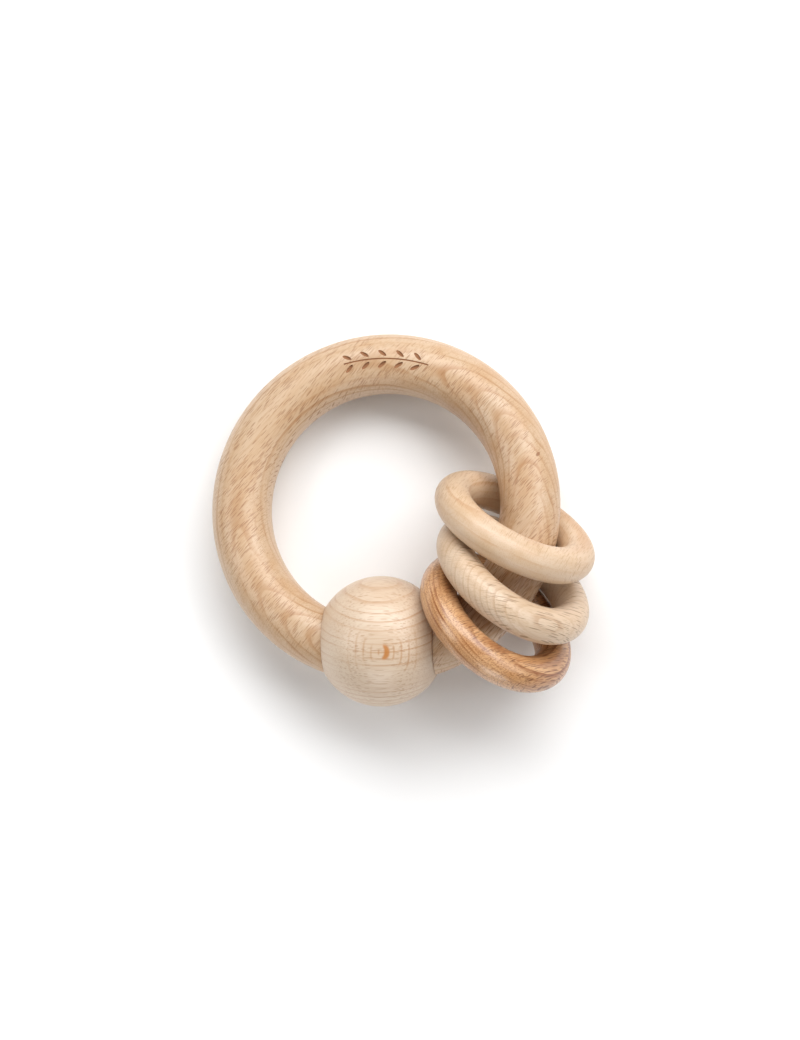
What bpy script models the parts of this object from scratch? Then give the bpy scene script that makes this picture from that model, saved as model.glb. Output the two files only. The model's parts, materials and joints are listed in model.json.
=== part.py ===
"""Wooden baby rattle lying on a table.

A large turned ring is cut open, closed again by a ball with two flats, and held by a dowel glued
through the ball into both ring ends. Three small rings are threaded on the large ring. They rest
on the table in a fan beside the ball, lean against it and against each other, and prop that side
of the large ring up.

The large ring is modelled in its own frame: its middle at the origin, its axis along +Z and the
ball at -Y. One empty then tips that frame to the way the rattle lies, in metres, with +Z up and
the origin on the table under the middle of the whole rattle.
"""

import math
from typing import NamedTuple

import bmesh
import bpy
import numpy as np
from mathutils import Matrix, Vector

MM = 0.001

# Large ring
LARGE_DIAMETER = 80.0 * MM
LARGE_THICKNESS = 13.8 * MM

# Ball that closes it, with a flat for each end of the ring
BALL_DIAMETER = 29.5 * MM
BALL_FLAT_LIP = 0.7 * MM  # how far each flat stands out round the ring's thickness
BALL_RIM_FILLET = 0.5 * MM

# Dowel through the ball into both ends of the ring
DOWEL_DIAMETER = 6.0 * MM
DOWEL_SEAT_DEPTH = 6.0 * MM  # into each end of the ring
DOWEL_CHAMFER = 0.6 * MM
DOWEL_RADIAL_CLEARANCE = 0.15 * MM
DOWEL_END_CLEARANCE = 0.5 * MM

# Small rings
SMALL_DIAMETER = 39.4 * MM
SMALL_THICKNESS = 8.4 * MM

# Places
SEAT_GAP = 0.3 * MM  # between pieces that touch
LARGE_RISE = math.radians(8.6)  # how far the large ring is tipped off the table
LARGE_RISE_HEADING = math.radians(-40.6)  # the way that its raised side points

# Facets
LARGE_STEPS_ROUND = 84
LARGE_STEPS_THICKNESS = 22
SMALL_STEPS_ROUND = 48
SMALL_STEPS_THICKNESS = 18
BALL_STEPS_ROUND = 44
BALL_ARC_STEPS = 18
FILLET_STEPS = 3
DOWEL_STEPS_ROUND = 24

LARGE_MEAN_RADIUS = (LARGE_DIAMETER - LARGE_THICKNESS) / 2
SMALL_MEAN_RADIUS = (SMALL_DIAMETER - SMALL_THICKNESS) / 2
BALL_RADIUS = BALL_DIAMETER / 2
BALL_FLAT_RADIUS = LARGE_THICKNESS / 2 + BALL_FLAT_LIP
BALL_HALF_WIDTH = math.sqrt(BALL_RADIUS**2 - BALL_FLAT_RADIUS**2)
BALL_CENTRE = Vector((0, -math.sqrt(LARGE_MEAN_RADIUS**2 - BALL_HALF_WIDTH**2), 0))
RING_END = BALL_HALF_WIDTH + SEAT_GAP
HOLE_RADIUS = DOWEL_DIAMETER / 2 + DOWEL_RADIAL_CLEARANCE


class Rest(NamedTuple):
    """How a small ring hangs on the large one, seen where the large ring passes through it."""

    lean: float  # its axis raised off the large ring's run
    turn: float  # its axis turned off the large ring's run, towards the large ring's outside
    push: float  # which way its middle is off the large ring's run: 0 inwards, 90 degrees upwards


# From the ball outwards: each small ring leans on the one before it.
SMALL_RINGS = {
    "small_ring_lower": Rest(math.radians(30.2), math.radians(0.6), math.radians(176.9)),
    "small_ring_middle": Rest(math.radians(26.3), math.radians(12.4), math.radians(119.7)),
    "small_ring_upper": Rest(math.radians(22.8), math.radians(22.7), math.radians(47.7)),
}

WOODS = {
    "large_ring": (0.50, 0.29, 0.14),
    "ball": (0.72, 0.50, 0.29),
    "dowel": (0.66, 0.46, 0.27),
    "small_ring_upper": (0.68, 0.45, 0.25),
    "small_ring_middle": (0.62, 0.38, 0.19),
    "small_ring_lower": (0.50, 0.25, 0.09),
}
WOOD_ROUGHNESS = 0.42


def clear_scene():
    for obj in list(bpy.data.objects):
        bpy.data.objects.remove(obj, do_unlink=True)


def wood(name):
    material = bpy.data.materials.new(f"{name}_wood")
    material.use_nodes = True
    shader = material.node_tree.nodes["Principled BSDF"]
    shader.inputs["Base Color"].default_value = (*WOODS[name], 1)
    shader.inputs["Roughness"].default_value = WOOD_ROUGHNESS
    shader.inputs["Metallic"].default_value = 0
    return material


def turned(name, profile, steps, closed):
    """A piece turned about its own Z axis from (radius, height) points, as a lathe makes it."""
    mesh = bpy.data.meshes.new(name)
    work = bmesh.new()
    points = [work.verts.new((radius, 0, height)) for radius, height in profile]
    pairs = list(zip(points, points[1:]))
    if closed:
        pairs.append((points[-1], points[0]))
    edges = [work.edges.new(pair) for pair in pairs]
    bmesh.ops.spin(work, geom=points + edges, axis=(0, 0, 1), angle=2 * math.pi, steps=steps, use_merge=True)
    bmesh.ops.remove_doubles(work, verts=work.verts, dist=1e-7)
    bmesh.ops.recalc_face_normals(work, faces=work.faces)
    work.to_mesh(mesh)
    work.free()
    obj = bpy.data.objects.new(name, mesh)
    bpy.context.collection.objects.link(obj)
    return obj


def finished(obj, parent):
    """Dresses a piece and hangs it on the large ring's frame."""
    obj.parent = parent
    obj.data.materials.append(wood(obj.name))
    obj.data.shade_smooth()
    obj.data.set_sharp_from_angle(angle=math.radians(35))
    return obj


def arc(centre, radius, start, end, steps):
    """(radius, height) points along an arc, both ends included."""
    angles = np.linspace(start, end, steps + 1)
    return [(centre[0] + radius * math.cos(a), centre[1] + radius * math.sin(a)) for a in angles]


def cut(obj, cutter, name):
    """Takes the cutter out of the piece, and keeps the cutter as a hidden guide."""
    cutter.parent = obj
    cutter.hide_render = True
    cutter.display_type = "WIRE"
    modifier = obj.modifiers.new(name, "BOOLEAN")
    modifier.operation = "DIFFERENCE"
    modifier.object = cutter


def cutter_box(name, centre, size):
    mesh = bpy.data.meshes.new(name)
    work = bmesh.new()
    bmesh.ops.create_cube(work, size=1, matrix=Matrix.Translation(centre) @ Matrix.Diagonal((*size, 1)))
    work.to_mesh(mesh)
    work.free()
    obj = bpy.data.objects.new(name, mesh)
    bpy.context.collection.objects.link(obj)
    return obj


def lay_along_x(obj):
    """Turns a lathe-made piece so that its axis runs along X, through the ball's middle."""
    obj.location = BALL_CENTRE
    obj.rotation_euler = (0, math.radians(90), 0)


def ring_profile(mean_radius, thickness, steps):
    return arc((mean_radius, 0), thickness / 2, 0, 2 * math.pi, steps)[:-1]


def make_large_ring(parent):
    """The ring, with the ball's space cut out of it and a blind dowel hole in each end."""
    profile = ring_profile(LARGE_MEAN_RADIUS, LARGE_THICKNESS, LARGE_STEPS_THICKNESS)
    ring = turned("large_ring", profile, LARGE_STEPS_ROUND, closed=True)
    reach = 2 * LARGE_THICKNESS
    gap = cutter_box("ball_space", BALL_CENTRE, (2 * RING_END, 2 * reach, reach))
    cut(ring, gap, "Ball space")
    half = BALL_HALF_WIDTH + DOWEL_SEAT_DEPTH + DOWEL_END_CLEARANCE
    hole = turned("dowel_holes", [(0, -half), (HOLE_RADIUS, -half), (HOLE_RADIUS, half), (0, half)],
                  DOWEL_STEPS_ROUND, closed=False)
    lay_along_x(hole)
    cut(ring, hole, "Dowel holes")
    return finished(ring, parent)


def make_ball(parent):
    """The ball, with its two flats, rounded rims and a bore from flat to flat."""
    # The fillet's middle lies where it meets both the flat and the sphere.
    fillet_height = BALL_HALF_WIDTH - BALL_RIM_FILLET
    fillet_radius = math.sqrt((BALL_RADIUS - BALL_RIM_FILLET) ** 2 - fillet_height**2)
    meet = math.atan2(fillet_height, fillet_radius)
    upper = arc((fillet_radius, fillet_height), BALL_RIM_FILLET, meet, math.radians(90), FILLET_STEPS)
    side = arc((0, 0), BALL_RADIUS, -meet, meet, BALL_ARC_STEPS)
    lower = [(radius, -height) for radius, height in reversed(upper)]
    bore = [(HOLE_RADIUS, BALL_HALF_WIDTH), (HOLE_RADIUS, -BALL_HALF_WIDTH)]
    ball = turned("ball", lower[:-1] + side + upper[1:] + bore, BALL_STEPS_ROUND, closed=True)
    lay_along_x(ball)
    return finished(ball, parent)


def make_dowel(parent):
    half = BALL_HALF_WIDTH + DOWEL_SEAT_DEPTH
    radius = DOWEL_DIAMETER / 2
    tip = [(0, half), (radius - DOWEL_CHAMFER, half), (radius, half - DOWEL_CHAMFER)]
    profile = tip + [(r, -height) for r, height in reversed(tip)]
    dowel = turned("dowel", profile, DOWEL_STEPS_ROUND, closed=False)
    lay_along_x(dowel)
    return finished(dowel, parent)


def circle(centre, axis, radius, count=360):
    """Points round a circle in space."""
    side = np.cross(axis, (0, 0, 1))
    side = side / np.linalg.norm(side)
    other = np.cross(axis, side)
    angles = np.linspace(0, 2 * math.pi, count, endpoint=False)[:, None]
    return centre + radius * (np.cos(angles) * side + np.sin(angles) * other)


def to_circle(points, centre, axis, radius):
    """The least distance from any of the points to a circle."""
    offset = points - centre
    height = offset @ axis
    from_axis = np.linalg.norm(offset - height[:, None] * axis, axis=1)
    return np.hypot(height, from_axis - radius).min()


def solve(function, low, high):
    """Where a function crosses zero between two values, by halving."""
    low_is_over = function(low) > 0
    for _ in range(22):
        middle = (low + high) / 2
        if (function(middle) > 0) == low_is_over:
            low = middle
        else:
            high = middle
    return (low + high) / 2


def tip_matrix():
    """Turns the large ring's frame so that the side at the heading rises off the table."""
    about = Vector((math.sin(LARGE_RISE_HEADING), -math.cos(LARGE_RISE_HEADING), 0))
    return Matrix.Rotation(LARGE_RISE, 3, about)


def hung(rest, ease, swing, offset):
    """The middle and axis of a small ring that hangs at an angle round the large ring."""
    outwards = np.array((math.cos(swing), math.sin(swing), 0))
    along = np.array((-math.sin(swing), math.cos(swing), 0))
    upwards = np.array((0, 0, 1))
    level = math.cos(rest.turn * ease) * along + math.sin(rest.turn * ease) * outwards
    axis = math.cos(rest.lean * ease) * level + math.sin(rest.lean * ease) * upwards
    away = math.sin(rest.push) * upwards - math.cos(rest.push) * outwards
    return LARGE_MEAN_RADIUS * outwards + offset * away, axis


def hang_beside(rest, blocker, blocker_swing):
    """Hangs a small ring with the seat gap to the large ring and to its neighbour by the ball.

    It leans as far as its rest says, or as far as the large ring's thickness lets it.
    """
    room = (LARGE_THICKNESS + SMALL_THICKNESS) / 2 + SEAT_GAP

    def play(ease, offset=0):
        points = circle(*hung(rest, ease, 0, offset), SMALL_MEAN_RADIUS)
        return to_circle(points, np.zeros(3), np.array((0, 0, 1)), LARGE_MEAN_RADIUS) - room

    ease = 1 if play(1) > 0 else solve(play, 0, 1)
    offset = solve(lambda offset: play(ease, offset), 0, SMALL_MEAN_RADIUS) if play(ease) > 0 else 0

    def clear_of_blocker(swing):
        return blocker(circle(*hung(rest, ease, swing, offset), SMALL_MEAN_RADIUS))

    swing = solve(clear_of_blocker, blocker_swing, blocker_swing + math.radians(100))
    return swing, *hung(rest, ease, swing, offset)


def small_ring_places():
    """The middle and axis of each small ring in the large ring's frame."""
    ball_gap = BALL_RADIUS + SMALL_THICKNESS / 2 + SEAT_GAP
    places = {}

    def blocker(points):
        return np.linalg.norm(points - np.array(BALL_CENTRE), axis=1).min() - ball_gap

    swing = math.radians(-90)
    for name, rest in SMALL_RINGS.items():
        swing, middle, axis = hang_beside(rest, blocker, swing)
        places[name] = middle, axis

        def blocker(points, middle=middle, axis=axis):
            return to_circle(points, middle, axis, SMALL_MEAN_RADIUS) - SMALL_THICKNESS - SEAT_GAP

    return places


def make_small_ring(name, middle, axis, parent):
    profile = ring_profile(SMALL_MEAN_RADIUS, SMALL_THICKNESS, SMALL_STEPS_THICKNESS)
    ring = turned(name, profile, SMALL_STEPS_ROUND, closed=True)
    ring.location = middle
    ring.rotation_mode = "QUATERNION"
    ring.rotation_quaternion = Vector(axis).to_track_quat("Z", "Y")
    return finished(ring, parent)


def reach(middle, axis, mean_radius, thickness):
    """The lowest and highest corners of a ring in the table's frame."""
    spread = [mean_radius * math.sqrt(1 - part**2) + thickness / 2 for part in axis]
    return middle - Vector(spread), middle + Vector(spread)


def large_ring_centre(places):
    """Where the large ring's middle goes, so that the origin is under the whole rattle's middle."""
    tip = tip_matrix()
    boxes = [reach(Vector(), tip @ Vector((0, 0, 1)), LARGE_MEAN_RADIUS, LARGE_THICKNESS)]
    boxes.append(reach(tip @ BALL_CENTRE, Vector((1, 0, 0)), 0, BALL_DIAMETER))
    for middle, axis in places.values():
        boxes.append(reach(tip @ Vector(middle), tip @ Vector(axis), SMALL_MEAN_RADIUS, SMALL_THICKNESS))
    low = [min(box[0][k] for box in boxes) for k in range(3)]
    high = [max(box[1][k] for box in boxes) for k in range(3)]
    return Vector((-(low[0] + high[0]) / 2, -(low[1] + high[1]) / 2, -low[2]))


def main():
    clear_scene()
    places = small_ring_places()
    centre = large_ring_centre(places)
    axle = bpy.data.objects.new("large_ring_axis", None)
    bpy.context.collection.objects.link(axle)
    axle.matrix_world = Matrix.Translation(centre) @ tip_matrix().to_4x4()
    make_large_ring(axle)
    make_ball(axle)
    make_dowel(axle)
    for name, (middle, axis) in places.items():
        make_small_ring(name, middle, axis, axle)


main()
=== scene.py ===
"""The looks of a turned beech rattle: a large ring closed by a ball, with three small rings on it.

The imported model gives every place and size. Each turned piece is modelled again with a fine
surface at the place of its CAD node, and gets oiled beech from a board of its own. Growth layers,
rays and fibres are solid patterns in space, so they run through a piece as they do in wood.
"""

import json
import logging
import math
from dataclasses import dataclass, field
from typing import Callable

import bmesh
import bpy
import numpy as np
from mathutils import Euler, Matrix, Vector

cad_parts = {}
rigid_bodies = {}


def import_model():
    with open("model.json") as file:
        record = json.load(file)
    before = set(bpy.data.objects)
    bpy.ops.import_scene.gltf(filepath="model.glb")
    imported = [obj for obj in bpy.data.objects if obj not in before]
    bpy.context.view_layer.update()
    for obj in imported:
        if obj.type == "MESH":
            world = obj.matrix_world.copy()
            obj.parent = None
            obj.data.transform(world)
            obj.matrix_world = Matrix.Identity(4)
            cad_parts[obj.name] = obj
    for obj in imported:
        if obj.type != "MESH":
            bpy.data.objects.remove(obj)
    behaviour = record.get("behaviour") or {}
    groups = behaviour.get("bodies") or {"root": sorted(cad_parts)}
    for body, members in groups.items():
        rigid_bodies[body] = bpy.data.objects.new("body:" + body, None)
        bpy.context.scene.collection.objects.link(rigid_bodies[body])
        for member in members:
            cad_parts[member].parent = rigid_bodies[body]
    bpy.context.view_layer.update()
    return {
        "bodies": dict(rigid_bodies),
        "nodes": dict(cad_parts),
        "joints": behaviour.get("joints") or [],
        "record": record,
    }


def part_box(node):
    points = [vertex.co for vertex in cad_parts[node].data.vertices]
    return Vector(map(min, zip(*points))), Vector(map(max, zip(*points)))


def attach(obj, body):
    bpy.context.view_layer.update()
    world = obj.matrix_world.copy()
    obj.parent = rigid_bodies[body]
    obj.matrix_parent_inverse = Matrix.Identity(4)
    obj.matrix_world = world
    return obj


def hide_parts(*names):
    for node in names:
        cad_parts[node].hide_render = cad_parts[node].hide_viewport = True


LOG = logging.getLogger("rattle")
MM = 0.001
SHARP_ANGLE = math.radians(30)
WHITE = (1.0, 1.0, 1.0, 1.0)

# A face whose normal is this near to an axis lies square to it.
SQUARE_TO = 0.999

# Grain sizes in millimetres: along the fibres, along the layers and across the layers.
WANDER_MM = (36, 12, 12)
UNEVEN_MM = (400, 400, 3.2)
FADING_MM = (22, 7, 7)
CROWD_MM = (9, 5, 5)
PATCH_MM = (26, 6, 4)
FIBRE_MM = (6, 0.26, 0.26)
LATHE_BREAK_MM = (5, 5, 5)

# How far the layers shift from an even spacing, in millimetres.
UNEVEN_YEARS_MM = 1.6
# The palest year line, as a share of the darkest.
PALEST_LINE = 0.3
# The cosine between surface and fibres where end grain starts to show, and where it is all end grain.
END_GRAIN = (0.35, 0.8)
# How much of the rays is left on end grain.
END_GRAIN_RAYS = 0.2
# How deeply a small mark stains the wood.
MARK_DEPTH = 0.9
# The height of a fibre against the depth of a ray, and that depth in millimetres.
FIBRE_HEIGHT = 0.3
RAY_DEPTH_MM = 0.04
BUMP_STRENGTH = 0.3
# How much rougher a full ray is than the wood, and how much the fibres vary in roughness.
RAY_ROUGHNESS = 0.15
FIBRE_ROUGHNESS = 0.12
OIL_IOR = 1.5


def linear(hex_colour: str) -> tuple[float, float, float, float]:
    """Turns an sRGB hex colour to linear light.

    Args:
        hex_colour: Six hex digits, such as "d9b48f".

    Returns:
        Red, green, blue and an alpha of 1.
    """
    parts = [int(hex_colour[k : k + 2], 16) / 255 for k in (0, 2, 4)]
    light = [p / 12.92 if p <= 0.04045 else ((p + 0.055) / 1.055) ** 2.4 for p in parts]
    return (*light, 1.0)


def add_node(
    tree: bpy.types.NodeTree, kind: str, inputs: dict | None = None, **settings
) -> bpy.types.Node:
    """Adds a node with its settings, values and links.

    Args:
        tree: The node tree to add to.
        kind: The node's type, such as "ShaderNodeMath".
        inputs: Input name or number to a value, or to the output socket to link from.
        **settings: Attributes of the node, such as operation="MULTIPLY".

    Returns:
        The new node.
    """
    node = tree.nodes.new(kind)
    for name, value in settings.items():
        setattr(node, name, value)
    for name, value in (inputs or {}).items():
        if isinstance(value, bpy.types.NodeSocket):
            tree.links.new(value, node.inputs[name])
        else:
            node.inputs[name].default_value = value
    return node


@dataclass(frozen=True)
class Board:
    """How the board that a piece was turned from lies in space.

    Attributes:
        heart: A point in the board on the line that its layers bow about.
        fibre: The way that the fibres run.
        layers: Roughly the way across the growth layers; it is squared up with the fibres.
    """

    heart: Vector
    fibre: Vector
    layers: Vector

    def turn(self) -> Euler:
        """The turn that carries X to the fibres, Y along the layers and Z across them."""
        along = self.fibre.normalized()
        across = (self.layers - self.layers.dot(along) * along).normalized()
        return Matrix((along, across.cross(along), across)).transposed().to_euler()


@dataclass(frozen=True)
class Mark:
    """A small dark mark in the wood, such as a pin knot.

    Attributes:
        middle: Where it is.
        long_way: The way that it is long.
        half_mm: Half its length, and half its width.
        colour: Its colour, as sRGB hex.
        bite: How much of it a second, shifted mark takes away, which leaves a crescent.
    """

    middle: Vector
    long_way: Vector
    half_mm: tuple[float, float]
    colour: str
    bite: Vector | None = None


@dataclass(frozen=True)
class LatheMarks:
    """Faint rounded squares about the point where a lathe held a piece.

    Attributes:
        middle: The lathe's middle.
        axis: The lathe's axis.
        up: The way that the squares stand; the marks show least there.
        spacing_mm: From one to the next.
        reach_mm: How far out they fade.
        strength: How clearly they show, from 0 to 1.
    """

    middle: Vector
    axis: Vector
    up: Vector
    spacing_mm: float = 1.7
    reach_mm: float = 10.0
    strength: float = 0.5


@dataclass(frozen=True)
class OiledBeech:
    """Beech, turned, sanded and rubbed with oil.

    Oil gives a soft satin sheen. Early wood is pale, and each year ends in a thin darker line.
    Rays are sheets of cells a few millimetres long that run from bark to heart. A face along the
    layers cuts them to short dark dashes, and a face across the layers cuts them to broad flecks.

    Attributes:
        name: The material's name.
        early: Colour of the wood grown first in a year.
        late: Colour of the line that ends a year.
        ray: Colour of the rays.
        tan: Colour of the darker patches in the board.
        year_mm: Thickness of a year's layer.
        bow_per_m: How strongly the layers bow about the heart line.
        wander_mm: How far a layer wanders from its bowed plane.
        line_from: Where in a year its line starts, from 0 to 1; nearer 1 is a thinner line.
        line_strength: How clearly the year lines show, from 0 to 1.
        patch_strength: How clearly the tan patches show, from 0 to 1.
        ray_mm: The spacing of the rays along the fibres, along the layers and across the layers.
        ray_size: The half size of a ray, as a share of that spacing.
        ray_strength: How dark the rays are, from 0 to 1.
        fibre_strength: How much the fibres lighten and darken the wood.
        painted_sheen_below_mm: How far above the heart the tan wood starts; below it all is painted pale, a
            painted sheen on the sides that are seen at a grazing angle.
        roughness: Of the oiled surface.
        wax: Weight of the thin gloss film on top.
        wax_roughness: Roughness of that film.
        marks: The board's own small marks.
        lathe: What the lathe left.
    """

    name: str
    early: str
    late: str
    ray: str
    tan: str
    year_mm: float = 1.4
    bow_per_m: float = 2.3
    wander_mm: float = 0.7
    line_from: float = 0.55
    line_strength: float = 0.45
    patch_strength: float = 0.55
    ray_mm: tuple[float, float, float] = (3.3, 0.25, 2.6)
    ray_size: float = 0.41
    ray_strength: float = 0.5
    fibre_strength: float = 0.22
    painted_sheen_below_mm: float = -50.0
    roughness: float = 0.42
    wax: float = 0.25
    wax_roughness: float = 0.33
    marks: tuple[Mark, ...] = ()
    lathe: LatheMarks | None = None

    def material(self, board: Board) -> bpy.types.Material:
        """Makes the wood for a piece cut from a board.

        Args:
            board: How the piece's board lies.

        Returns:
            The finished material.
        """
        made = bpy.data.materials.new(self.name)
        made.use_nodes = True
        tree = made.node_tree
        shader = tree.nodes["Principled BSDF"]
        surface = add_node(tree, "ShaderNodeTexCoord").outputs
        place = surface["Object"]

        def counted(
            steps_mm: tuple[float, float, float], origin: Vector, turn: Euler
        ) -> bpy.types.NodeSocket:
            """Coordinates from an origin that count in steps of the given sizes."""
            steps = Vector(steps_mm) * MM
            inputs = {"Vector": place, "Location": origin, "Rotation": turn, "Scale": steps}
            return add_node(tree, "ShaderNodeMapping", inputs, vector_type="TEXTURE").outputs[0]

        def board_steps(*steps_mm: float) -> bpy.types.NodeSocket:
            """Board coordinates that count in steps of the given sizes."""
            return counted(steps_mm, board.heart, board.turn())

        def noise(sizes: tuple[float, float, float], detail: float) -> bpy.types.NodeSocket:
            """Grain noise whose grains have the given sizes in millimetres."""
            inputs = {"Vector": board_steps(*sizes), "Scale": 1.0, "Detail": detail}
            return add_node(tree, "ShaderNodeTexNoise", inputs).outputs["Fac"]

        def reckon(operation: str, *values) -> bpy.types.NodeSocket:
            """One step of arithmetic."""
            inputs = dict(enumerate(values))
            return add_node(tree, "ShaderNodeMath", inputs, operation=operation).outputs[0]

        def ease(value, low: float, high: float, to_low=0.0, to_high=1.0) -> bpy.types.NodeSocket:
            """A smooth step from one level to another."""
            inputs = {
                "Value": value, "From Min": low, "From Max": high, "To Min": to_low, "To Max": to_high}
            step = add_node(tree, "ShaderNodeMapRange", inputs, interpolation_type="SMOOTHSTEP")
            return step.outputs["Result"]

        def over(share, under, upper) -> bpy.types.NodeSocket:
            """A share of one colour laid over another."""
            inputs = {0: share, 6: under, 7: upper}
            return add_node(tree, "ShaderNodeMix", inputs, data_type="RGBA").outputs[2]

        def spot(mark: Mark, middle: Vector) -> bpy.types.NodeSocket:
            """How much of a small mark shows at each place."""
            turn = mark.long_way.to_track_quat("X", "Z").to_euler()
            length, width = mark.half_mm
            around = counted((length, width, width), middle, turn)
            length_of = add_node(tree, "ShaderNodeVectorMath", {0: around}, operation="LENGTH")
            return ease(length_of.outputs["Value"], 0.65, 1.05, 1.0, 0.0)

        def turned(lathe: LatheMarks) -> bpy.types.NodeSocket:
            """How much of the lathe's marks shows at each place."""
            turn = Board(lathe.middle, lathe.axis, lathe.up).turn()
            from_middle = counted((1, 1, 1), lathe.middle, turn)
            out = add_node(tree, "ShaderNodeSeparateXYZ", {0: from_middle}).outputs
            beside, above = reckon("ABSOLUTE", out["Y"]), reckon("ABSOLUTE", out["Z"])
            cubes = reckon("ADD", reckon("POWER", beside, 3.0), reckon("POWER", above, 3.0))
            away = reckon("POWER", cubes, 1 / 3)
            circle = ease(reckon("PINGPONG", reckon("DIVIDE", away, lathe.spacing_mm), 0.5), 0.30, 0.5)
            upright = ease(reckon("DIVIDE", above, away), 0.4, 0.9, 1.0, 0.05)
            faded = ease(away, 0.5 * lathe.reach_mm, lathe.reach_mm, lathe.strength, 0.0)
            broken = ease(noise(LATHE_BREAK_MM, 1), 0.35, 0.6, 0.25)
            worn = reckon("MULTIPLY", circle, broken)
            return reckon("MULTIPLY", worn, reckon("MULTIPLY", upright, faded))

        # Years: the depth in the board, bowed and wandering, is cut into layers that end in a line.
        depth = add_node(tree, "ShaderNodeSeparateXYZ", {0: board_steps(1, 1, 1)}).outputs
        bow = reckon("MULTIPLY", reckon("MULTIPLY", depth["Y"], depth["Y"]), self.bow_per_m * MM)
        wander = reckon("MULTIPLY_ADD", noise(WANDER_MM, 2), 2 * self.wander_mm, -self.wander_mm)
        uneven = reckon("MULTIPLY", noise(UNEVEN_MM, 1), UNEVEN_YEARS_MM)
        bent = reckon("ADD", reckon("ADD", depth["Z"], bow), reckon("ADD", wander, uneven))
        years = reckon("DIVIDE", bent, self.year_mm)
        year = reckon("FRACT", years)
        line = reckon("MULTIPLY", ease(year, self.line_from, 0.93), ease(year, 0.94, 1.0, 1.0, 0.0))
        inputs = {"W": reckon("FLOOR", years)}
        lot = add_node(tree, "ShaderNodeTexWhiteNoise", inputs, noise_dimensions="1D").outputs["Value"]
        each = reckon("MULTIPLY_ADD", lot, 1.0 - PALEST_LINE, PALEST_LINE)
        fading = ease(noise(FADING_MM, 1), 0.32, 0.62, 0.35, 1.0)
        shown = reckon("MULTIPLY", fading, self.line_strength)
        line = reckon("MULTIPLY", reckon("MULTIPLY", line, each), shown)

        # Rays, crowded in some places and thin in others. They hardly show on end grain.
        inputs = {"Vector": board_steps(*self.ray_mm), "Scale": 1.0, "Randomness": 1.0}
        sheet = add_node(tree, "ShaderNodeTexVoronoi", inputs).outputs["Distance"]
        crowd = ease(noise(CROWD_MM, 1), 0.30, 0.55, 0.62, 1.0)
        edge = reckon("MULTIPLY", crowd, self.ray_size)
        ray = ease(reckon("DIVIDE", sheet, edge), 0.65, 1.0, 1.0, 0.0)
        inputs = {0: surface["Normal"], 1: board.fibre.normalized()}
        facing = add_node(tree, "ShaderNodeVectorMath", inputs, operation="DOT_PRODUCT").outputs["Value"]
        least = END_GRAIN_RAYS * self.ray_strength
        shown = ease(reckon("ABSOLUTE", facing), *END_GRAIN, self.ray_strength, least)
        ray = reckon("MULTIPLY", ray, shown)

        # Patches and fibres run with the fibres.
        patch = ease(noise(PATCH_MM, 3), 0.30, 0.66, 0.2)
        patch = reckon("MULTIPLY", patch, self.patch_strength)
        # Below the set height the tan patches fade out, so the lower faces are painted pale: a painted
        # sheen.
        patch = reckon("MULTIPLY", patch, ease(bent, self.painted_sheen_below_mm - 1.0, self.painted_sheen_below_mm + 2.0))
        fibre = noise(FIBRE_MM, 2)
        streak = reckon("MULTIPLY", ease(fibre, 0.46, 0.68), self.fibre_strength)

        colour = over(patch, linear(self.early), linear(self.tan))
        colour = over(line, colour, linear(self.late))
        colour = over(streak, colour, linear(self.late))
        if self.lathe is not None:
            colour = over(turned(self.lathe), colour, linear(self.late))
        colour = over(ray, colour, linear(self.ray))
        for mark in self.marks:
            share = spot(mark, mark.middle)
            if mark.bite is not None:
                share = reckon("SUBTRACT", share, spot(mark, mark.middle + mark.bite))
            share = reckon("MAXIMUM", reckon("MULTIPLY", share, MARK_DEPTH), 0.0)
            colour = over(share, colour, linear(mark.colour))
        tree.links.new(colour, shader.inputs["Base Color"])

        smoothest = self.roughness - FIBRE_ROUGHNESS / 2
        rough = reckon("MULTIPLY_ADD", fibre, FIBRE_ROUGHNESS, smoothest)
        rough = reckon("MULTIPLY_ADD", ray, RAY_ROUGHNESS, rough)
        tree.links.new(rough, shader.inputs["Roughness"])
        height = reckon("SUBTRACT", reckon("MULTIPLY", fibre, FIBRE_HEIGHT), ray)
        inputs = {"Height": height, "Strength": BUMP_STRENGTH, "Distance": RAY_DEPTH_MM * MM}
        bump = add_node(tree, "ShaderNodeBump", inputs)
        tree.links.new(bump.outputs["Normal"], shader.inputs["Normal"])
        shader.inputs["IOR"].default_value = OIL_IOR
        shader.inputs["Coat Weight"].default_value = self.wax
        shader.inputs["Coat Roughness"].default_value = self.wax_roughness
        return made


@dataclass(frozen=True)
class LaserBurn:
    """Beech scorched by an engraving laser: matt, warm brown, and darker where the beam dwelt.

    Attributes:
        name: The material's name.
        light: Colour where the beam passed quickly.
        dark: Colour where it dwelt.
        speckle_mm: Size of the uneven spots.
        roughness: Of the scorched surface.
    """

    name: str
    light: str
    dark: str
    speckle_mm: float = 0.5
    roughness: float = 0.75

    def material(self) -> bpy.types.Material:
        """Makes the scorched surface."""
        made = bpy.data.materials.new(self.name)
        made.use_nodes = True
        tree = made.node_tree
        shader = tree.nodes["Principled BSDF"]
        place = add_node(tree, "ShaderNodeTexCoord").outputs["Object"]
        spots = {"Vector": place, "Scale": 1 / (self.speckle_mm * MM), "Detail": 2.0}
        uneven = add_node(tree, "ShaderNodeTexNoise", spots).outputs["Fac"]
        inputs = {0: uneven, 6: linear(self.light), 7: linear(self.dark)}
        colour = add_node(tree, "ShaderNodeMix", inputs, data_type="RGBA").outputs[2]
        tree.links.new(colour, shader.inputs["Base Color"])
        shader.inputs["Roughness"].default_value = self.roughness
        return made


def select_none() -> None:
    """Leaves nothing selected, and no object active."""
    bpy.ops.object.select_all(action="DESELECT")
    bpy.context.view_layer.objects.active = None


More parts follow.
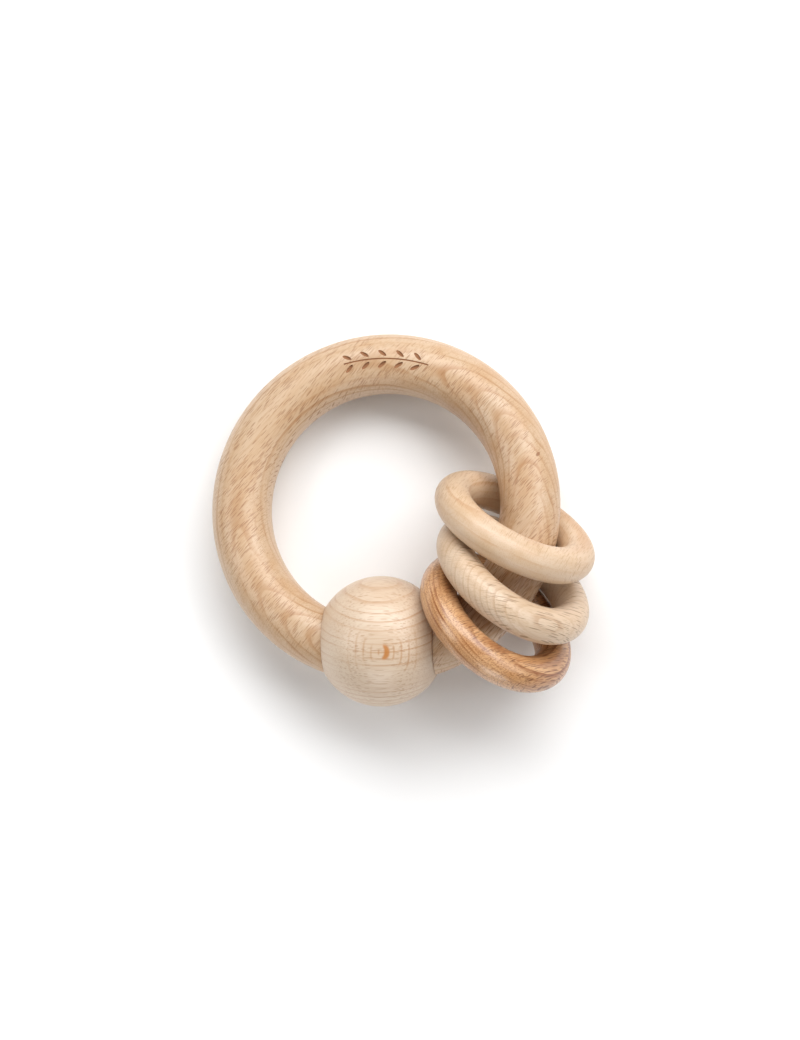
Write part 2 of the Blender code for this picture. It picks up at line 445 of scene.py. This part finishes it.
def pick(*objects: bpy.types.Object) -> None:
    """Selects only these objects, and makes the last one active."""
    select_none()
    for obj in objects:
        obj.select_set(True)
    bpy.context.view_layer.objects.active = objects[-1]


def settle(obj: bpy.types.Object, place: Matrix | None = None) -> None:
    """Puts the object's place into its mesh, and leaves the object at the origin.

    Args:
        obj: The object, which ends as the only one selected.
        place: Where it goes, if it isn't there yet.
    """
    if place is not None:
        obj.matrix_world = place @ obj.matrix_world
    pick(obj)
    bpy.ops.object.transform_apply(location=True, rotation=True, scale=True)


def apply_modifier(obj: bpy.types.Object, kind: str, **settings) -> None:
    """Adds a modifier to an object and applies it.

    Args:
        obj: The object to change.
        kind: The modifier's type, such as "BOOLEAN".
        **settings: Attributes of the modifier.
    """
    pick(obj)
    modifier = obj.modifiers.new(kind.title(), kind)
    for name, value in settings.items():
        setattr(modifier, name, value)
    bpy.ops.object.modifier_apply(modifier=modifier.name)


def carve(obj: bpy.types.Object, cutter: bpy.types.Object) -> None:
    """Cuts one object out of another, and throws the cutter away.

    Args:
        obj: The object to cut.
        cutter: What it loses; its material lines the cut.
    """
    apply_modifier(obj, "BOOLEAN", object=cutter, operation="DIFFERENCE", material_mode="TRANSFER")
    bpy.data.objects.remove(cutter)


def select_faces(obj: bpy.types.Object, wanted: Callable[[bmesh.types.BMFace], bool]) -> None:
    """Selects the faces of an object in edit mode that pass a test, and no others.

    Args:
        obj: The object, which is in edit mode.
        wanted: The test.
    """
    mesh = bmesh.from_edit_mesh(obj.data)
    bpy.ops.mesh.select_mode(type="FACE")
    bpy.ops.mesh.select_all(action="DESELECT")
    for face in mesh.faces:
        if wanted(face):
            face.select_set(True)
    bmesh.update_edit_mesh(obj.data)


def select_rim(obj: bpy.types.Object, wanted: Callable[[bmesh.types.BMEdge], bool]) -> None:
    """Selects the open edges of an object in edit mode that pass a test, and no others.

    Args:
        obj: The object, which is in edit mode.
        wanted: The test.
    """
    mesh = bmesh.from_edit_mesh(obj.data)
    bpy.ops.mesh.select_mode(type="EDGE")
    bpy.ops.mesh.select_all(action="DESELECT")
    for edge in mesh.edges:
        if edge.is_boundary and wanted(edge):
            edge.select_set(True)
    bmesh.update_edit_mesh(obj.data)


@dataclass(frozen=True)
class Sprig:
    """The engraved sprig on the crest of the large ring: a stem with leaves in pairs.

    Attributes:
        stem_from: Where the stem starts round the ring, as an angle.
        stem_to: Where it ends.
        stem_radius: Of the stem's groove.
        pairs: How many pairs of leaves it has.
        pair_at: Where a pair stands in its share of the stem, from 0 to 1.
        leaf_half: Half the length, width and depth of a leaf.
        leaf_out: How far a leaf's middle is from the stem.
        leaf_lean: How far a leaf leans from the stem's way.
    """

    stem_from: float = math.radians(72.5)
    stem_to: float = math.radians(106.5)
    stem_radius: float = 0.17 * MM
    pairs: int = 5
    pair_at: float = 0.75
    leaf_half: tuple[float, float, float] = (1.25 * MM, 0.42 * MM, 0.34 * MM)
    leaf_out: float = 1.35 * MM
    leaf_lean: float = math.radians(38)

    def stem_cutter(self, ring_radius: float, ring_half: float) -> bpy.types.Object:
        """Makes the cutter for the stem.

        Args:
            ring_radius: From the middle of the large ring to the middle of its thickness.
            ring_half: Half the ring's thickness.

        Returns:
            A bent rod along the crest.
        """
        select_none()
        start = Vector((math.cos(self.stem_from), math.sin(self.stem_from), 0)) * ring_radius
        bpy.ops.mesh.primitive_circle_add(
            vertices=12, radius=self.stem_radius, fill_type="NGON",
            location=start + Vector((0, 0, ring_half)), rotation=(math.radians(90), 0, self.stem_from))
        stem = bpy.context.object
        settle(stem)
        bpy.ops.object.mode_set(mode="EDIT")
        bpy.ops.mesh.select_all(action="SELECT")
        bpy.ops.mesh.spin(
            steps=32, angle=self.stem_from - self.stem_to, center=(0, 0, 0), axis=(0, 0, 1))
        bpy.ops.mesh.select_all(action="SELECT")
        bpy.ops.mesh.normals_make_consistent(inside=False)
        bpy.ops.object.mode_set(mode="OBJECT")
        return stem

    def leaf_cutter(self, ring_radius: float, ring_half: float, pair: int, side: int) -> bpy.types.Object:
        """Makes the cutter for one leaf.

        Args:
            ring_radius: From the middle of the large ring to the middle of its thickness.
            ring_half: Half the ring's thickness.
            pair: Which pair the leaf is in, from 0.
            side: 1 outside the stem, and -1 inside it.

        Returns:
            A long drop at the ring's surface.
        """
        heading = self.stem_from + (self.stem_to - self.stem_from) * (pair + self.pair_at) / self.pairs
        reach = ring_radius + side * self.leaf_out
        height = math.sqrt(ring_half**2 - self.leaf_out**2)
        select_none()
        bpy.ops.mesh.primitive_uv_sphere_add(
            segments=32, ring_count=16, radius=1.0,
            location=(math.cos(heading) * reach, math.sin(heading) * reach, height),
            rotation=(0, 0, heading + math.radians(90) - side * self.leaf_lean), scale=self.leaf_half)
        leaf = bpy.context.object
        settle(leaf)
        return leaf

    def cutters(self, ring_radius: float, ring_half: float) -> list[bpy.types.Object]:
        """Makes all the cutters, none of them touching another.

        Args:
            ring_radius: From the middle of the large ring to the middle of its thickness.
            ring_half: Half the ring's thickness.

        Returns:
            The stem, and then the leaves.
        """
        cutters = [self.stem_cutter(ring_radius, ring_half)]
        for pair in range(self.pairs):
            for side in (-1, 1):
                cutters.append(self.leaf_cutter(ring_radius, ring_half, pair, side))
        return cutters


@dataclass
class Handle:
    """The large ring, sawn open, with the ball glued in by a dowel: the part that a hand holds.

    In its own frame the ring lies round the origin in the XY plane, with the ball at -Y.

    Attributes:
        frame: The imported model.
        ring_radius: From the middle of the large ring to the middle of its thickness.
        ring_thickness: Of the large ring.
        ring_end: How far each sawn end is from the middle plane.
        ball_radius: Of the ball.
        ball_middle: Where the ball's middle is along -Y.
        ball_flat: How far each flat of the ball is from the middle plane.
        dowel_length: Of the dowel.
        dowel_radius: Of the dowel.
        seam: The gap that shows between the ball and a sawn end.
        rim: The rounding of the ball's rims.
        end_chamfer: The easing of the sawn ends.
        glue_gap: How much longer and wider than the dowel its hole is, on each side.
        dowel_chamfer: The easing of the dowel's ends.
        dowel_sides: How many faces the dowel has round it.
        flute_every: One of this many faces is a flute.
        flute_land: How far a flute stays from the edges of its face.
        flute_depth: Of a flute.
    """

    frame: dict
    ring_radius: float = field(init=False)
    ring_thickness: float = field(init=False)
    ring_end: float = field(init=False)
    ball_radius: float = field(init=False)
    ball_middle: float = field(init=False)
    ball_flat: float = field(init=False)
    dowel_length: float = field(init=False)
    dowel_radius: float = field(init=False)
    seam: float = 0.08 * MM
    rim: float = 0.5 * MM
    end_chamfer: float = 0.15 * MM
    glue_gap: float = 0.15 * MM
    dowel_chamfer: float = 0.6 * MM
    dowel_sides: int = 36
    flute_every: int = 3
    flute_land: float = 0.12 * MM
    flute_depth: float = 0.15 * MM

    def __post_init__(self) -> None:
        """Measures the CAD nodes in the handle's own frame."""
        ring = self.own_points("large_ring")
        self.ring_thickness = max(p.z for p in ring) - min(p.z for p in ring)
        self.ring_radius = max(math.hypot(p.x, p.y) for p in ring) - self.ring_thickness / 2
        ball = self.own_points("ball")
        self.ball_middle = -(max(p.y for p in ball) + min(p.y for p in ball)) / 2
        self.ball_flat = max(p.x for p in ball)
        self.ball_radius = (max(p.z for p in ball) - min(p.z for p in ball)) / 2
        self.ring_end = self.ball_flat + self.seam
        dowel = self.own_points("dowel")
        self.dowel_length = max(p.x for p in dowel) - min(p.x for p in dowel)
        self.dowel_radius = (max(p.z for p in dowel) - min(p.z for p in dowel)) / 2

    @property
    def centre(self) -> Vector:
        """The large ring's middle, which the small rings travel about."""
        return Vector(self.frame["joints"][0]["pos_m"])

    @property
    def axis(self) -> Vector:
        """The large ring's axis."""
        return Vector(self.frame["joints"][0]["axis"]).normalized()

    def place(self) -> Matrix:
        """Carries the handle's own frame to the table's."""
        low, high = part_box("ball")
        away = self.centre - (Vector(low) + Vector(high)) / 2
        up = (away - away.dot(self.axis) * self.axis).normalized()
        turn = Matrix((up.cross(self.axis), up, self.axis)).transposed()
        return Matrix.Translation(self.centre) @ turn.to_4x4()

    def ball_at(self) -> Vector:
        """The ball's middle, in the table's frame."""
        return self.place() @ Vector((0, -self.ball_middle, 0))

    def own_points(self, node: str) -> list[Vector]:
        """A CAD node's points in the handle's own frame."""
        inverse = self.place().inverted()
        return [inverse @ vertex.co for vertex in bpy.data.objects[node].data.vertices]

    def socket_drill(self) -> bpy.types.Object:
        """Makes the cutter for the dowel's hole, in the handle's own frame."""
        select_none()
        bpy.ops.mesh.primitive_cylinder_add(
            vertices=48, radius=self.dowel_radius + self.glue_gap,
            depth=self.dowel_length + 2 * self.glue_gap, location=(0, -self.ball_middle, 0),
            rotation=(0, math.radians(90), 0))
        return bpy.context.object

    def build_ring(self, wood: bpy.types.Material, burn: bpy.types.Material) -> bpy.types.Object:
        """Models the large ring: turned whole, sawn open where the ball goes, and engraved.

        Args:
            wood: Its material.
            burn: The material of the engraving.

        Returns:
            The finished ring.
        """
        select_none()
        bpy.ops.mesh.primitive_torus_add(
            major_segments=320, minor_segments=88, major_radius=self.ring_radius,
            minor_radius=self.ring_thickness / 2)
        ring = bpy.context.object
        ring.name = "oiled_large_ring"
        bpy.ops.object.mode_set(mode="EDIT")
        for side in (-1, 1):
            select_faces(ring, lambda face: face.calc_center_median().y < -self.ring_thickness)
            bpy.ops.mesh.bisect(plane_co=(side * self.ring_end, 0, 0), plane_no=(1, 0, 0))
        select_faces(ring, self.is_sawn_out)
        bpy.ops.mesh.delete(type="FACE")
        for side in (-1, 1):
            select_rim(ring, lambda edge: edge.verts[0].co.x * side > 0)
            bpy.ops.mesh.edge_face_add()
            bpy.ops.mesh.select_mode(type="FACE")
            bpy.ops.mesh.inset(thickness=self.end_chamfer, depth=self.end_chamfer / 2)
        bpy.ops.mesh.select_all(action="SELECT")
        bpy.ops.mesh.normals_make_consistent(inside=False)
        bpy.ops.object.mode_set(mode="OBJECT")
        bpy.ops.object.shade_smooth_by_angle(angle=SHARP_ANGLE)
        ring.data.materials.append(wood)
        ring.data.materials.append(burn)
        carve(ring, self.socket_drill())
        for cutter in Sprig().cutters(self.ring_radius, self.ring_thickness / 2):
            cutter.data.materials.append(burn)
            carve(ring, cutter)
        settle(ring, self.place())
        return ring

    def is_sawn_out(self, face: bmesh.types.BMFace) -> bool:
        """Whether a face of the whole turned ring lies where the ball goes."""
        middle = face.calc_center_median()
        return middle.y < 0 and abs(middle.x) < self.ring_end

    def build_ball(self, wood: bpy.types.Material) -> bpy.types.Object:
        """Models the ball: a sphere sliced flat on two sides, its rims rounded, and bored.

        Args:
            wood: Its material.

        Returns:
            The finished ball.
        """
        select_none()
        bpy.ops.mesh.primitive_uv_sphere_add(
            segments=144, ring_count=72, radius=self.ball_radius,
            location=(0, -self.ball_middle, 0), rotation=(0, math.radians(90), 0))
        ball = bpy.context.object
        ball.name = "oiled_ball"
        settle(ball)
        bpy.ops.object.mode_set(mode="EDIT")
        for side in (-1, 1):
            bpy.ops.mesh.select_all(action="SELECT")
            bpy.ops.mesh.bisect(
                plane_co=(side * self.ball_flat, 0, 0), plane_no=(side, 0, 0), clear_outer=True,
                use_fill=True)
        select_faces(ball, lambda face: abs(face.normal.x) > SQUARE_TO)
        bpy.ops.mesh.region_to_loop()
        bpy.ops.mesh.bevel(offset=self.rim, segments=4, profile=0.5, affect="EDGES")
        bpy.ops.object.mode_set(mode="OBJECT")
        bpy.ops.object.shade_smooth_by_angle(angle=SHARP_ANGLE)
        ball.data.materials.append(wood)
        carve(ball, self.socket_drill())
        settle(ball, self.place())
        return ball

    def build_dowel(self, wood: bpy.types.Material) -> bpy.types.Object:
        """Models the dowel: a fluted pin with eased ends.

        Args:
            wood: Its material.

        Returns:
            The finished dowel.
        """
        select_none()
        bpy.ops.mesh.primitive_cylinder_add(
            vertices=self.dowel_sides, radius=self.dowel_radius, depth=self.dowel_length,
            location=(0, -self.ball_middle, 0), rotation=(0, math.radians(90), 0))
        dowel = bpy.context.object
        dowel.name = "fluted_dowel"
        settle(dowel)
        bpy.ops.object.mode_set(mode="EDIT")
        select_faces(dowel, lambda face: abs(face.normal.x) > SQUARE_TO)
        bpy.ops.mesh.region_to_loop()
        bpy.ops.mesh.bevel(offset=self.dowel_chamfer, segments=1, affect="EDGES")
        select_faces(dowel, self.is_flute)
        bpy.ops.mesh.inset(thickness=self.flute_land, depth=-self.flute_depth, use_individual=True)
        bpy.ops.object.mode_set(mode="OBJECT")
        bpy.ops.object.shade_smooth_by_angle(angle=SHARP_ANGLE)
        dowel.data.materials.append(wood)
        settle(dowel, self.place())
        return dowel

    def is_flute(self, face: bmesh.types.BMFace) -> bool:
        """Whether a face of the dowel is one of its flutes, which run along X."""
        middle = face.calc_center_median()
        turn = math.atan2(middle.z, middle.y + self.ball_middle) % math.tau
        flute = int(turn / math.tau * self.dowel_sides) % self.flute_every == 0
        return flute and abs(face.normal.x) < 1 - SQUARE_TO


@dataclass
class SmallRing:
    """A small ring turned on a lathe, hung on the large ring.

    Attributes:
        node: The CAD node.
        body: The body that it moves with.
        middle: The ring's middle.
        axis: The ring's axis, with its upper end upwards.
        mean_radius: From the middle to the middle of the ring's thickness.
        thickness: Of the ring.
    """

    node: str
    body: str
    middle: Vector = field(init=False)
    axis: Vector = field(init=False)
    mean_radius: float = field(init=False)
    thickness: float = field(init=False)

    def __post_init__(self) -> None:
        """Measures the node's points: a ring is thinnest along its axis."""
        points = np.array([vertex.co for vertex in bpy.data.objects[self.node].data.vertices])
        middle = points.mean(axis=0)
        axis = np.linalg.svd(points - middle, full_matrices=False)[2][2]
        axis = axis if axis[2] > 0 else -axis
        height = (points - middle) @ axis
        reach = np.linalg.norm(points - middle - height[:, None] * axis, axis=1).max()
        self.middle = Vector(middle)
        self.axis = Vector(axis)
        self.thickness = float(height.max() - height.min())
        self.mean_radius = float(reach) - self.thickness / 2

    def fibre(self, heading: float) -> Vector:
        """A way in the ring's plane that looks from above as if it ran at the heading, in degrees."""
        across, up = math.cos(math.radians(heading)), math.sin(math.radians(heading))
        rise = -(across * self.axis.x + up * self.axis.y) / self.axis.z
        return Vector((across, up, rise)).normalized()

    def build(self, wood: bpy.types.Material) -> bpy.types.Object:
        """Models the ring with a fine surface.

        Args:
            wood: Its material.

        Returns:
            The finished ring.
        """
        select_none()
        bpy.ops.mesh.primitive_torus_add(
            major_segments=176, minor_segments=64, major_radius=self.mean_radius,
            minor_radius=self.thickness / 2, location=self.middle,
            rotation=self.axis.to_track_quat("Z", "Y").to_euler())
        ring = bpy.context.object
        ring.name = f"oiled_{self.body}"
        settle(ring)
        bpy.ops.object.shade_smooth()
        ring.data.materials.append(wood)
        return ring


@dataclass(frozen=True)
class Softbox:
    """A soft light that faces the rattle.

    Attributes:
        name: Its name.
        azimuth: Where it stands round the rattle, in degrees from +X.
        elevation: How high it stands, in degrees.
        size: Its width and height in metres.
        strength: How bright it makes a white card that faces it, where 1 is white.
        distance: From the rattle, in metres.
    """

    name: str
    azimuth: float
    elevation: float
    size: tuple[float, float]
    strength: float
    distance: float = 1.0

    def hang(self, target: Vector) -> None:
        """Puts the light up.

        Args:
            target: What it faces.
        """
        lamp = bpy.data.lights.new(self.name, "AREA")
        lamp.shape = "RECTANGLE"
        lamp.size, lamp.size_y = self.size
        lamp.energy = self.strength * (math.pi * self.distance) ** 2
        light = bpy.data.objects.new(self.name, lamp)
        bpy.context.scene.collection.objects.link(light)
        round_it, up = math.radians(self.azimuth), math.radians(self.elevation)
        away = Vector((math.cos(up) * math.cos(round_it), math.cos(up) * math.sin(round_it), math.sin(up)))
        light.location = target + self.distance * away
        light.rotation_euler = away.to_track_quat("Z", "Y").to_euler()


@dataclass
class Studio:
    """A white table under soft light, and the camera above it.

    Attributes:
        target: The point on the table that the camera faces.
        card: The colour of the table, as sRGB hex.
        room: How bright the room is round the softboxes.
        camera_away: The way from the target to the camera, almost straight up.
        camera_distance: How far away the camera is, in metres.
        camera_roll: How far the camera is turned about its view.
        lens_mm: The lens.
        lens_shift: How far the lens is shifted sideways and up, as a share of the picture.
        lights: The softboxes.
    """

    target: Vector
    card: str = "f7f7f7"
    room: float = 0.09
    camera_away: tuple[float, float, float] = (0.0441, -0.048, 1)
    camera_distance: float = 0.8
    camera_roll: float = math.radians(1.15)
    lens_mm: float = 119.94
    lens_shift: tuple[float, float] = (0.0120, -0.0096)
    lights: tuple[Softbox, ...] = (
        Softbox("window", 74, 49, (1.5, 0.65), 1.58),
        Softbox("left_fill", 180, 40, (0.55, 0.55), 0.32),
        Softbox("right_fill", 0, 38, (0.6, 0.6), 0.26),
        Softbox("front_fill", 270, 20, (0.55, 0.55), 0.33),
    )

    def set_up(self) -> None:
        """Builds the table, the lights and the camera."""
        self.lay_table()
        for softbox in self.lights:
            softbox.hang(self.target)
        self.light_room()
        bpy.context.scene.view_settings.view_transform = "Standard"
        self.mount_camera()

    def light_room(self) -> None:
        """Lights the room a little from all round."""
        world = bpy.data.worlds.new("dim_room")
        world.use_nodes = True
        background = world.node_tree.nodes["Background"]
        background.inputs["Color"].default_value = WHITE
        background.inputs["Strength"].default_value = self.room
        bpy.context.scene.world = world

    def lay_table(self) -> None:
        """Lays the white table."""
        select_none()
        bpy.ops.mesh.primitive_plane_add(size=4.0, location=self.target)
        table = bpy.context.object
        table.name = "white_table"
        card = bpy.data.materials.new("matt_white_card")
        card.use_nodes = True
        shader = card.node_tree.nodes["Principled BSDF"]
        shader.inputs["Base Color"].default_value = linear(self.card)
        shader.inputs["Roughness"].default_value = 0.9
        shader.inputs["Specular IOR Level"].default_value = 0.1
        table.data.materials.append(card)

    def mount_camera(self) -> None:
        """Mounts the camera almost straight above, turned a little."""
        away = Vector(self.camera_away).normalized()
        side = Vector((0, 1, 0)).cross(away).normalized()
        roll = Matrix.Rotation(self.camera_roll, 3, "Z")
        turn = Matrix((side, away.cross(side), away)).transposed() @ roll
        lens = bpy.data.cameras.new("camera")
        lens.lens = self.lens_mm
        lens.shift_x, lens.shift_y = self.lens_shift
        lens.clip_start = 0.05
        lens.clip_end = 20
        camera = bpy.data.objects.new("camera", lens)
        bpy.context.scene.collection.objects.link(camera)
        stand = Matrix.Translation(self.target + self.camera_distance * away)
        camera.matrix_world = stand @ turn.to_4x4()
        bpy.context.scene.camera = camera


def hand_over(piece: bpy.types.Object, node: str, body: str) -> None:
    """Gives a finished piece its place in the part.

    Args:
        piece: The piece.
        node: The CAD node that it stands for.
        body: The body that it moves with.
    """
    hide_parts(node)
    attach(piece, body)
    LOG.info("%s rides on %s", piece.name, body)


def add_large_ring(handle: Handle) -> None:
    """Adds the large ring, in tan beech with a pin knot, engraved with a sprig.

    Args:
        handle: The handle's sizes.
    """
    flat = handle.axis
    heading = math.radians(50)
    grain = Vector((math.cos(heading), math.sin(heading), 0))
    grain = (grain - grain.dot(flat) * flat).normalized()
    heart = handle.centre + 36 * MM * flat.cross(grain) + 0.45 * MM * flat
    knot_at = handle.centre + Vector((34.49, 12.24, 8.38)) * MM
    knot = Mark(knot_at, Vector((1, 1, 0)), (1.2, 0.45), "8f5f3a")
    # The ring's sides below 4.3 mm over the heart are painted pale, a painted sheen; the tan patches stay
    # on the crest.
    wood = OiledBeech(
        "oiled_beech_tan", early="cbb194", late="a3713f", ray="875224", tan="b98a58", year_mm=1.3,
        wander_mm=0.5, line_strength=0.7, patch_strength=0.45, ray_strength=0.6, fibre_strength=0.36,
        painted_sheen_below_mm=4.3, marks=(knot,))
    burn = LaserBurn("laser_burn", light="a0704a", dark="7c4f30")
    ring = handle.build_ring(wood.material(Board(heart, grain, flat)), burn.material())
    hand_over(ring, "large_ring", "handle")


def add_ball(handle: Handle) -> None:
    """Adds the ball, in pale beech, with the mark where it was parted from the lathe.

    Args:
        handle: The handle's sizes.
    """
    ball_at = handle.ball_at()
    pole = Vector((0.065, -0.178, 0.982)).normalized()
    parted_at = ball_at + handle.ball_radius * pole + Vector((0.45, 0, 0)) * MM
    parted = Mark(parted_at, Vector((0, 1, 0)), (2.0, 1.35), "b87738", Vector((-1.2, 0.2, 0)) * MM)
    wood = OiledBeech(
        "oiled_beech_pale", early="d4c1ab", late="ad7846", ray="9a6a40", tan="ccb297", year_mm=1.5,
        bow_per_m=3.0, wander_mm=0.6, line_from=0.6, line_strength=0.6, ray_mm=(4.4, 0.42, 0.42),
        ray_strength=0.36, fibre_strength=0.2, marks=(parted,),
        lathe=LatheMarks(ball_at, pole, Vector((0, 1, 0))))
    board = Board(ball_at, Vector((1, 0.03, 0)), Vector((0, 1, 0.4)))
    hand_over(handle.build_ball(wood.material(board)), "ball", "handle")


def add_dowel(handle: Handle) -> None:
    """Adds the hidden dowel, in plain beech whose fibres run along it.

    Args:
        handle: The handle's sizes.
    """
    board = Board(handle.ball_at(), handle.place().to_3x3() @ Vector((1, 0, 0)), Vector((0, 0, 1)))
    wood = OiledBeech(
        "plain_beech", early="cfae8e", late="a67c56", ray="7d5230", tan="c19a70", wax=0.0)
    hand_over(handle.build_dowel(wood.material(board)), "dowel", "handle")


def add_small_rings() -> None:
    """Adds the three small rings, each in a wood of its own."""
    upper = OiledBeech(
        "oiled_beech_cream", early="d1b99f", late="b07d4c", ray="94632f", tan="c5a27a", year_mm=1.7,
        line_strength=0.5, ray_strength=0.36)
    middle = OiledBeech(
        "oiled_beech_straw", early="d4bea6", late="9f7144", ray="6b441f", tan="c5a683", year_mm=1.15,
        line_strength=0.5, ray_mm=(5.2, 0.32, 2.8), ray_strength=0.55)
    lower = OiledBeech(
        "oiled_beech_amber", early="d2a77b", late="7d4013", ray="5a2c0b", tan="ad7136", year_mm=0.8,
        line_from=0.25, line_strength=0.95, ray_strength=0.65, fibre_strength=0.6, roughness=0.34, wax=0.45,
        wax_roughness=0.2)
    boards = (
        ("upper", 55, Vector((-0.1, -0.1, 0.15)), upper),
        ("middle", -15, Vector((-0.2, -0.7, 0)), middle),
        ("lower", 12, Vector((-0.1, -0.15, 0)), lower))
    for place, heading, lean, wood in boards:
        ring = SmallRing(f"small_ring_{place}", f"{place}_ring")
        board = Board(ring.middle, ring.fibre(heading), ring.axis + lean)
        hand_over(ring.build(wood.material(board)), ring.node, ring.body)


def main() -> None:
    """Builds the studio and the pieces in order."""
    logging.basicConfig(level=logging.INFO, format="%(message)s")
    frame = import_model()
    handle = Handle(frame)
    Studio(Vector((handle.centre.x, handle.centre.y, 0))).set_up()
    add_large_ring(handle)
    add_ball(handle)
    add_dowel(handle)
    add_small_rings()


if __name__ == "__main__":
    main()
